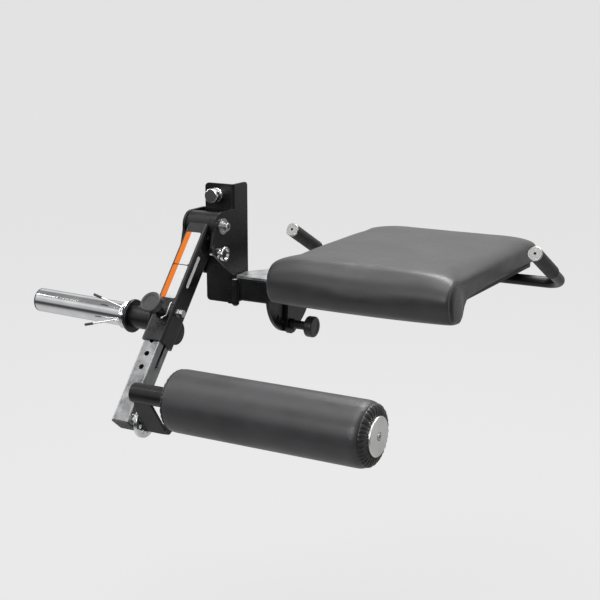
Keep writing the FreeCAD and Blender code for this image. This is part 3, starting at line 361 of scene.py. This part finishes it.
def powder_coat():
    """Black textured powder coat: fine orange peel, slightly worn and dusty on the edges."""
    surface = Surface("powder_coat", (0.012, 0.012, 0.013), 0.4)
    surface.soften(0.8 * MM)
    worn = surface.math("MULTIPLY", surface.edges(1.1 * MM), surface.spread(surface.noise(60.0), 0.45, 0.7))
    cloudy = surface.spread(surface.noise(14.0), 0.3, 0.7)
    base = surface.mix(cloudy, (0.004, 0.004, 0.0043), (0.008, 0.008, 0.0085))
    surface.paint(surface.mix(worn, base, (0.045, 0.045, 0.047)))
    surface.vary_roughness(surface.noise(38.0), 0.24, 0.36)
    surface.bump(surface.noise(1500.0, 2.0), 0.10 * MM, 0.55)
    surface.bump(surface.cells(900.0, "SMOOTH_F1"), 0.05 * MM, 0.35)
    surface.set("Specular IOR Level", 0.35)
    return surface.material


def polished_chrome(name, direction):
    """Mirror chrome with faint handling marks that run round the part."""
    surface = Surface(name, (0.78, 0.785, 0.79), 0.07, 1.0)
    surface.soften(0.5 * MM)
    smudge = surface.noise(26.0, 5.0)
    surface.vary_roughness(smudge, 0.04, 0.13)
    streaks = surface.noise(1.0, 2.0, place=surface.stretched(direction, 30.0, 1400.0))
    surface.bump(streaks, 0.012 * MM, 0.25)
    tint = surface.spread(smudge, 0.35, 0.65)
    surface.paint(surface.mix(tint, (0.72, 0.725, 0.735), (0.84, 0.842, 0.845)))
    return surface.material


def zinc_plate(name, direction, dark, light):
    """Pale zinc-plated steel with drawn streaks along the bar and a cloudy, soft sheen."""
    surface = Surface(name, (0.6, 0.61, 0.62), 0.34, 1.0)
    surface.soften(0.5 * MM)
    streaks = surface.noise(1.0, 3.0, place=surface.stretched(direction, 14.0, 900.0))
    clouds = surface.noise(45.0, 4.0)
    shade = surface.mix(surface.spread(clouds, 0.3, 0.7), dark, light)
    streak = surface.spread(streaks, 0.35, 0.75, out_high=0.45)
    surface.paint(surface.mix(streak, shade, tuple(0.7 * part for part in dark)))
    surface.vary_roughness(clouds, 0.26, 0.42)
    surface.bump(streaks, 0.03 * MM, 0.4)
    return surface.material


def turned_aluminium(name, dark, light):
    """Aluminium with the fine grain that a lathe leaves."""
    surface = Surface(name, light, 0.3, 1.0)
    surface.soften(0.4 * MM)
    grain = surface.noise(500.0, 3.0)
    surface.vary_roughness(grain, 0.24, 0.38)
    surface.paint(surface.mix(surface.spread(surface.noise(30.0), MID_LOW, MID_HIGH), dark, light))
    surface.bump(grain, 0.02 * MM, 0.5)
    return surface.material


def bearing_bronze():
    surface = Surface("bearing_bronze", (0.42, 0.29, 0.12), 0.4, 1.0)
    surface.vary_roughness(surface.noise(120.0), 0.32, 0.5)
    surface.bump(surface.noise(700.0), 0.03 * MM, 0.4)
    return surface.material


def moulded_plastic(name, color, low, high, grain):
    """Moulded plastic with a fine spark-eroded texture."""
    surface = Surface(name, color, low)
    surface.soften(0.5 * MM)
    surface.vary_roughness(surface.noise(30.0), low, high)
    lighter = tuple(min(1.0, part * 1.5 + 0.004) for part in color)
    surface.paint(surface.mix(surface.spread(surface.noise(20.0), 0.35, 0.65), color, lighter))
    surface.bump(surface.noise(grain, 2.0), 0.06 * MM, 0.5)
    return surface.material


def fine_rubber():
    """Matt black rubber with tiny pores and a little dust."""
    surface = Surface("fine_rubber", (0.016, 0.016, 0.017), 0.7)
    surface.soften(0.8 * MM)
    dust = surface.spread(surface.noise(70.0, 5.0), 0.5, 0.75)
    surface.paint(surface.mix(dust, (0.013, 0.013, 0.014), (0.03, 0.03, 0.031)))
    surface.vary_roughness(surface.noise(90.0), 0.6, 0.78)
    surface.bump(surface.cells(1400.0), 0.08 * MM, 0.5)
    return surface.material


def upholstery(name, seams=()):
    """Charcoal vinyl: leather grain in two sizes, a soft sheen, and painted shade along each sewn seam."""
    surface = Surface(name, (0.022, 0.022, 0.024), 0.42)
    blotch = surface.spread(surface.noise(9.0, 4.0), 0.3, 0.7)
    color = surface.mix(blotch, (0.017, 0.017, 0.0185), (0.027, 0.0272, 0.029))
    pebble = surface.cells(620.0, "SMOOTH_F1")
    fine = surface.noise(1700.0, 3.0)
    wrinkle = surface.noise(150.0, 4.0)
    # Painted shade: a near-black band along each seam plane, standing in for the shadow in the pressed seam
    # groove
    for seam_x in seams:
        offset = surface.math("ABSOLUTE", surface.along(ACROSS, (seam_x, 0, 0)))
        painted_seam_shade = surface.spread(offset, 0.0, PAINTED_SEAM_SHADE_WIDTH, 1.0, 0.0)
        color = surface.mix(painted_seam_shade, color, (0.003, 0.003, 0.003))
    surface.paint(color)
    surface.vary_roughness(surface.noise(24.0, 4.0), 0.36, 0.50)
    surface.bump(wrinkle, 0.25 * MM, 0.30)
    surface.bump(pebble, 0.22 * MM, 0.55)
    surface.bump(fine, 0.05 * MM, 0.40)
    surface.set("Sheen Weight", 0.08)
    surface.set("Sheen Roughness", 0.4)
    return surface.material


def gathered_cloth():
    """Thin black coated cloth of the roller's gathered ends: dull, with a soft shine on the folds."""
    surface = Surface("gathered_cloth", (0.005, 0.005, 0.0055), 0.42)
    surface.vary_roughness(surface.noise(60.0), 0.34, 0.5)
    surface.bump(surface.noise(2200.0, 2.0), 0.06 * MM, 0.5)
    surface.set("Sheen Weight", 0.05)
    return surface.material


def stitch_thread():
    surface = Surface("stitch_thread", (0.20, 0.20, 0.205), 0.5)
    surface.vary_roughness(surface.noise(400.0), 0.45, 0.65)
    surface.bump(surface.noise(3000.0), 0.05 * MM, 0.5)
    return surface.material


def sticker():
    """White film with an orange band on the sleeve's front; a silver strip with plain ticks on its side."""
    surface = Surface("sticker", (0.8, 0.8, 0.78), 0.4)
    across = surface.along(ACROSS)
    down = surface.along(LEVER_DOWN, PIVOT)
    band = surface.spread(across, BAND_EDGE - BAND_BLUR, BAND_EDGE + BAND_BLUR, 1.0, 0.0)
    speckle = surface.spread(surface.noise(300.0), 0.4, 0.7)
    white = surface.mix(speckle, (0.50, 0.50, 0.495), (0.45, 0.452, 0.452))
    front = surface.mix(band, white, (0.50, 0.115, 0.003))
    on_side = surface.math("GREATER_THAN", across, SIDE_FILM)
    tick = surface.math("PINGPONG", down, TICK_SPACING)
    line = surface.spread(tick, TICK_CORE, TICK_FADE, 1.0, 0.0)
    reach = surface.along(LEVER_FRONT, PIVOT)
    outer = surface.math("GREATER_THAN", reach, TICK_REACH)
    marks = surface.mix(surface.math("MULTIPLY", line, outer), (0.55, 0.56, 0.56), (0.05, 0.05, 0.05))
    surface.paint(surface.mix(on_side, front, marks))
    surface.vary_roughness(surface.noise(80.0), 0.3, 0.45)
    surface.bump(surface.noise(500.0), 0.02 * MM, 0.4)
    surface.set("Specular IOR Level", 0.15)
    return surface.material


def stained_board():
    """Black-stained plywood under the cushion, with its grain along Y."""
    surface = Surface("stained_board", (0.03, 0.027, 0.024), 0.6)
    grain = surface.noise(1.0, 5.0, place=surface.stretched(ALONG_SEAT, 6.0, 160.0))
    surface.paint(surface.mix(surface.spread(grain, 0.35, 0.65), (0.018, 0.016, 0.014), (0.05, 0.043, 0.036)))
    surface.vary_roughness(grain, 0.5, 0.72)
    surface.bump(grain, 0.15 * MM, 0.5)
    return surface.material


def dress_nodes():
    """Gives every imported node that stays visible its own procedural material."""
    coat = powder_coat()
    chrome = polished_chrome("polished_chrome", ACROSS)
    pin_chrome = polished_chrome("pin_chrome", ALONG_SEAT)
    plastic = moulded_plastic("moulded_plastic", (0.014, 0.014, 0.015), 0.42, 0.58, 1300.0)
    knob = moulded_plastic("knob_plastic", (0.012, 0.012, 0.013), 0.26, 0.38, 1700.0)
    drawn = zinc_plate("drawn_zinc", LEVER_DOWN, (0.17, 0.172, 0.175), (0.31, 0.312, 0.315))
    bright = zinc_plate("bright_zinc", ACROSS, (0.44, 0.445, 0.45), (0.66, 0.665, 0.67))
    plate_zinc = zinc_plate("plate_zinc", ALONG_SEAT, (0.44, 0.445, 0.45), (0.66, 0.665, 0.67))
    rubber = fine_rubber()
    looks = {
        coat: ["mount_bracket", "pivot_yoke", "hinge_knuckles", "lever_barrel", "lever_sleeve", "post_socket",
               "carrier_flange", "carrier_gusset", "axle_tube", "arm_knuckle", "seat_arm_tube", "tilt_sector",
               "tilt_cheek", "seat_beam", "seat_rails", "handle_bar", "length_plunger_body",
               "tilt_plunger_body"],
        chrome: ["weight_post", "stop_pin", "stop_pin_bushing", "index_disc", "spring_collar"],
        pin_chrome: ["mounting_pin", "mounting_pin_bushing"],
        plastic: ["bracket_liner", "sleeve_guides", "post_cap", "tube_end_cap", "axle_cap", "beam_cap",
                  "collar_grips", "roller_bushings"],
        knob: ["length_plunger_knob", "tilt_plunger_knob"],
        drawn: ["sliding_tube"],
        bright: ["pivot_shaft", "pivot_washers", "pivot_screws", "clamp_screw", "carrier_pivot_bolt",
                 "index_pin", "roller_core", "roller_end_screw", "tilt_pivot", "grease_nipple",
                 "keeper_wire"],
        plate_zinc: ["arm_top_plate", "hinge_pin", "board_screws"],
        rubber: ["rear_bumper", "handle_grips"],
        turned_aluminium("disc_aluminium", (0.70, 0.70, 0.69), (0.84, 0.84, 0.83)): ["roller_end_disc"],
        turned_aluminium("cap_aluminium", (0.38, 0.38, 0.375), (0.50, 0.50, 0.49)): ["handle_caps"],
        bearing_bronze(): ["barrel_bushings"],
        sticker(): ["sleeve_labels"],
        stained_board(): ["seat_board"],
    }
    for material, names in looks.items():
        for name in names:
            node = NODES[name]
            node.data.materials.clear()
            node.data.materials.append(material)


# ---------------------------------------------------------------- soft pieces

CLOTH_FRAMES = 20
CLOTH_PRESSURE = 4.0


def new_piece(name, mesh, material, body):
    mesh.materials.clear()
    mesh.materials.append(material)
    piece = bpy.data.objects.new(name, mesh)
    bpy.context.scene.collection.objects.link(piece)
    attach(piece, body)
    return piece


def apply_modifiers(piece):
    bpy.context.view_layer.update()
    graph = bpy.context.evaluated_depsgraph_get()
    mesh = bpy.data.meshes.new_from_object(piece.evaluated_get(graph), depsgraph=graph)
    old = piece.data
    piece.modifiers.clear()
    piece.data = mesh
    bpy.data.meshes.remove(old)


def shrink(mesh, amount):
    for vertex, normal in [(v, v.normal.copy()) for v in mesh.vertices]:
        vertex.co -= normal * amount


def remesh_evenly(piece, voxel):
    remesh = piece.modifiers.new("remesh", "REMESH")
    remesh.mode = "VOXEL"
    remesh.voxel_size = voxel
    apply_modifiers(piece)


def smooth_points(piece, iterations):
    smoothing = piece.modifiers.new("smoothing", "SMOOTH")
    smoothing.factor = 0.5
    smoothing.iterations = iterations
    apply_modifiers(piece)


def inflate(piece, start_shrink, cap, smooth, settle):
    """Shrinks and rounds an evenly meshed shape, then blows it up as cloth. No point moves past the cap."""
    shrink(piece.data, start_shrink)
    smooth_points(piece, smooth)
    start = [v.co.copy() for v in piece.data.vertices]
    cloth = piece.modifiers.new("cloth", "CLOTH")
    cloth.settings.quality = 5
    cloth.settings.use_pressure = True
    cloth.settings.uniform_pressure_force = CLOTH_PRESSURE
    cloth.settings.effector_weights.gravity = 0.0
    cloth.settings.tension_stiffness = 18.0
    cloth.settings.compression_stiffness = 12.0
    cloth.settings.bending_stiffness = 0.6
    cloth.point_cache.frame_start = 1
    cloth.point_cache.frame_end = CLOTH_FRAMES
    for step in range(1, CLOTH_FRAMES + 1):
        bpy.context.scene.frame_set(step)
    apply_modifiers(piece)
    bpy.context.scene.frame_set(1)
    for vertex, before in zip(piece.data.vertices, start):
        move = vertex.co - before
        if move.length > cap:
            vertex.co = before + move * (cap / move.length)
    smooth_points(piece, settle)


def subdivide_smooth(piece):
    modifier = piece.modifiers.new("subdivide", "SUBSURF")
    modifier.levels = 1
    modifier.render_levels = 1
    apply_modifiers(piece)
    for polygon in piece.data.polygons:
        polygon.use_smooth = True


def node_copy(node_name, piece_name, material, body):
    piece = new_piece(piece_name, NODES[node_name].data.copy(), material, body)
    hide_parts(node_name)
    return piece


CUSHION_VOXEL = 5.5 * MM
CUSHION_SHRINK = 4 * MM
CUSHION_CAP = 7 * MM
CUSHION_SMOOTH = 16
CUSHION_SETTLE = 30

# The crown: how far in from a side and from the back it starts to fall, by how much, and over which
# upper share of the cushion's height
CROWN_SIDE = 95 * MM
CROWN_BACK = 130 * MM
CROWN_DROP = 9 * MM
CROWN_STEEPNESS, CROWN_START = 2.2, 0.9

SEAM_INSET = 9 * MM
SEAM_DEPTH = 2.4 * MM
SEAM_WIDTH = 2.6 * MM
SEAM_REACH = 4 * SEAM_WIDTH

STITCH_LENGTH = 3.4 * MM
STITCH_THICK = 1.0 * MM
STITCH_SPACING = 5.0 * MM
STITCH_ROW = 3.2 * MM
STITCH_LIFT = 0.12 * MM
STITCH_RAYS = 900
STITCH_GAP = 30 * MM
RAY_START = 1.0
LIP_CENTRE = 50 * MM
UNDERSIDE = -0.5


def seam_planes():
    low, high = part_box("seat_cushion")
    return low.x + SEAM_INSET, high.x - SEAM_INSET


def crown(piece):
    """Lowers the cushion's top towards its sides and back, so that the middle stands proud."""
    low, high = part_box("seat_cushion")
    for vertex in piece.data.vertices:
        x, y, z = vertex.co
        share = (z - low.z) / (high.z - low.z)
        height = max(0.0, min(1.0, share * CROWN_STEEPNESS - CROWN_START))
        beside = max(0.0, 1 - min(x - low.x, high.x - x) / CROWN_SIDE)
        behind = max(0.0, 1 - (high.y - y) / CROWN_BACK)
        vertex.co.z -= height * (CROWN_DROP * beside ** 2 + CROWN_DROP * behind ** 2)


def press_seams(piece, seams):
    """Pulls the vinyl in along the seams between the top panel and the side panels."""
    for vertex, normal in [(v, v.normal.copy()) for v in piece.data.vertices]:
        nearest = min(abs(vertex.co.x - seam) for seam in seams)
        if nearest < SEAM_REACH:
            vertex.co -= normal * SEAM_DEPTH * math.exp(-(nearest / SEAM_WIDTH) ** 2)


def bead_template(around=6, along=4):
    """Points and faces of a small closed spindle of unit size, lying along its first axis."""
    points = [(-0.5, 0.0, 0.0), (0.5, 0.0, 0.0)]
    for i in range(1, along + 1):
        angle = math.pi * i / (along + 1)
        for j in range(around):
            turn = 2 * math.pi * j / around
            ring = 0.5 * math.sin(angle)
            points.append((-0.5 * math.cos(angle), ring * math.cos(turn), ring * math.sin(turn)))
    faces = []
    for j in range(around):
        k = (j + 1) % around
        faces.append((0, 2 + k, 2 + j))
        last = 2 + (along - 1) * around
        faces.append((1, last + j, last + k))
        for i in range(along - 1):
            a, b = 2 + i * around, 2 + (i + 1) * around
            faces.append((a + j, a + k, b + k, b + j))
    return points, faces


def stitch_mesh(name, places):
    """Small sunk loops of thread: one stretched bead per (place, direction, outward)."""
    points, faces = bead_template()
    all_points, all_faces = [], []
    for place, direction, outward in places:
        side = direction.cross(outward).normalized()
        start = len(all_points)
        for x, y, z in points:
            across = side * (y * STITCH_THICK) + outward * (z * STITCH_THICK)
            all_points.append(place + direction * (x * STITCH_LENGTH) + across)
        all_faces.extend([tuple(start + i for i in face) for face in faces])
    mesh = bpy.data.meshes.new(name)
    mesh.from_pydata(all_points, [], all_faces)
    for polygon in mesh.polygons:
        polygon.use_smooth = True
    return mesh


def stitches_round(piece, plane_x):
    """Places for stitches where the plane x = plane_x cuts the cushion, found by casting rays inwards."""
    tree = BVHTree.FromObject(piece, bpy.context.evaluated_depsgraph_get())
    low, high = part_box("seat_cushion")
    loop = []
    lip_centre = Vector((plane_x, low.y + LIP_CENTRE, high.z - LIP_CENTRE))
    for i in range(STITCH_RAYS):
        angle = 2 * math.pi * i / STITCH_RAYS
        direction = Vector((0, math.cos(angle), math.sin(angle)))
        hit, normal, _, _ = tree.ray_cast(lip_centre + direction * RAY_START, -direction)
        if hit is not None:
            loop.append((hit, normal))
    places = []
    travelled = 0.0
    for (before, _), (here, normal) in zip(loop, loop[1:]):
        step = here - before
        if step.length > STITCH_GAP:
            continue
        travelled += step.length
        if travelled >= STITCH_SPACING:
            travelled = 0.0
            if normal.z >= UNDERSIDE:
                places.append((here + normal * STITCH_LIFT, step.normalized(), normal))
    return places


def make_cushion():
    left_seam, right_seam = seam_planes()
    vinyl = upholstery("cushion_vinyl", (left_seam, right_seam))
    cushion = node_copy("seat_cushion", "cushion_cover", vinyl, "seat")
    remesh_evenly(cushion, CUSHION_VOXEL)
    crown(cushion)
    inflate(cushion, CUSHION_SHRINK, CUSHION_CAP, CUSHION_SMOOTH, CUSHION_SETTLE)
    subdivide_smooth(cushion)
    press_seams(cushion, (left_seam, right_seam))
    places = []
    for plane in (left_seam, right_seam):
        for offset in (-STITCH_ROW, STITCH_ROW):
            places.extend(stitches_round(cushion, plane + offset))
    stitches = stitch_mesh("cushion_stitches", places)
    new_piece("cushion_stitches", stitches, stitch_thread(), "seat")


ROLLER_AXIS = Vector(JOINTS["roller_spin"]["pos_m"])
ROLLER_VOXEL = 4.5 * MM
ROLLER_SHRINK = 3 * MM
ROLLER_CAP = 4 * MM
ROLLER_SMOOTH = 3
ROLLER_SETTLE = 4

GATHER_SEAM = 8 * MM
GATHER_RISE = 10.5 * MM
GATHER_DEPTH = 2.0 * MM
GATHER_COUNT = 34
GATHER_SEGMENTS = 544
GATHER_STEPS = 16
GATHER_SQUARENESS = 0.9
GATHER_SHARPNESS = 0.55
GATHER_WAVES = (3, 5, 8)
DISC_CLEARANCE = 3 * MM
SEAM_UNDERLAP = 0.5 * MM

# How the cloth tucks in under the disc: (past the pad's end, down from the gather's mouth, share of depth)
GATHER_TUCK = (
    (2.2 * MM, 1.2 * MM, 1.0), (1.2 * MM, 2.4 * MM, 0.9), (0.2 * MM, 3.4 * MM, 0.7),
    (-0.6 * MM, 5.0 * MM, 0.4), (-0.8 * MM, 8.0 * MM, 0.0),
)

SET_BACK = 0.45
SET_IN = 3.0 * MM
SET_IN_OVER = 2 * MM
SLICE = 2 * MM


def gather_profile(seam_radius, disc_radius):
    """(distance past the pad's end, radius, share of the pleats' depth) from the seam in to the end disc."""
    profile = [(-GATHER_SEAM, seam_radius - SEAM_UNDERLAP, 0.0)]
    up = seam_radius - disc_radius - DISC_CLEARANCE
    for i in range(1, GATHER_STEPS + 1):
        angle = math.radians(90 - 90 * i / GATHER_STEPS)
        out = -GATHER_SEAM + GATHER_RISE * math.cos(angle) ** GATHER_SQUARENESS
        profile.append((out, seam_radius - up + up * math.sin(angle), min(1.0, i / 4)))
    mouth = disc_radius + DISC_CLEARANCE
    for out, down, share in GATHER_TUCK:
        profile.append((out, mouth - down, share))
    return profile


def gathered_end(name, end, sign, seed, seam_radius, disc_radius, material):
    """The pleated cloth that closes one end of the roller, drawn in round the end disc."""
    draw = random.Random(seed)
    waves = [(count, draw.uniform(0, 2 * math.pi), draw.uniform(0.3, 0.7)) for count in GATHER_WAVES]
    profile = gather_profile(seam_radius, disc_radius)
    vertices = []
    for i in range(GATHER_SEGMENTS):
        angle = 2 * math.pi * i / GATHER_SEGMENTS
        shift = sum(size * math.sin(count * angle + phase) for count, phase, size in waves)
        ridge = abs(math.sin(0.5 * GATHER_COUNT * angle + shift)) ** GATHER_SHARPNESS
        for j, (out, reach, share) in enumerate(profile):
            before, after = profile[max(0, j - 1)], profile[min(len(profile) - 1, j + 1)]
            run = Vector((after[0] - before[0], after[1] - before[1])).normalized()
            lift = GATHER_DEPTH * share * (ridge - 1.0)
            far = reach + run.x * lift
            around = (ROLLER_AXIS.y + far * math.cos(angle), ROLLER_AXIS.z + far * math.sin(angle))
            vertices.append((end + sign * (out - run.y * lift), *around))
    rows = len(profile)
    faces = []
    for i in range(GATHER_SEGMENTS):
        following = (i + 1) % GATHER_SEGMENTS
        for j in range(rows - 1):
            face = (i * rows + j, i * rows + j + 1, following * rows + j + 1, following * rows + j)
            faces.append(face if sign < 0 else face[::-1])
    mesh = bpy.data.meshes.new(name)
    mesh.from_pydata(vertices, [], faces)
    for polygon in mesh.polygons:
        polygon.use_smooth = True
    return new_piece(name, mesh, material, "roller")


def off_axis(point):
    return Vector((0, point.y - ROLLER_AXIS.y, point.z - ROLLER_AXIS.z))


def radius_at(piece, x):
    """How far the piece reaches from the roller's axis at one place along it."""
    return max(off_axis(v.co).length for v in piece.data.vertices if abs(v.co.x - x) < SLICE)


def draw_in_end(piece, end, sign):
    """Sets the pad's end back behind the seam, so that the gathered cloth covers it."""
    seam = end - sign * GATHER_SEAM
    for vertex in piece.data.vertices:
        past = sign * (vertex.co.x - seam)
        if past > 0:
            vertex.co.x -= sign * past * SET_BACK
            reach = off_axis(vertex.co)
            inward = min(reach.length, SET_IN * min(1.0, past / SET_IN_OVER))
            vertex.co -= reach.normalized() * inward


def make_roller():
    low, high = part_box("roller_pad")
    disc_low, disc_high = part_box("roller_end_disc")
    disc_radius = (disc_high.y - disc_low.y) / 2
    vinyl = upholstery("roller_vinyl")
    pad = node_copy("roller_pad", "roller_cover", vinyl, "roller")
    remesh_evenly(pad, ROLLER_VOXEL)
    inflate(pad, ROLLER_SHRINK, ROLLER_CAP, ROLLER_SMOOTH, ROLLER_SETTLE)
    subdivide_smooth(pad)
    cloth = gathered_cloth()
    ends = (("roller_gather_right", high.x, 1, 11), ("roller_gather_left", low.x, -1, 23))
    for name, end, sign, seed in ends:
        seam_radius = radius_at(pad, end - sign * GATHER_SEAM)
        draw_in_end(pad, end, sign)
        gathered_end(name, end, sign, seed, seam_radius, disc_radius, cloth)


# ---------------------------------------------------------------- make everything

make_camera()
make_floor()
make_lights()
make_world()
dress_nodes()
make_cushion()
make_roller()
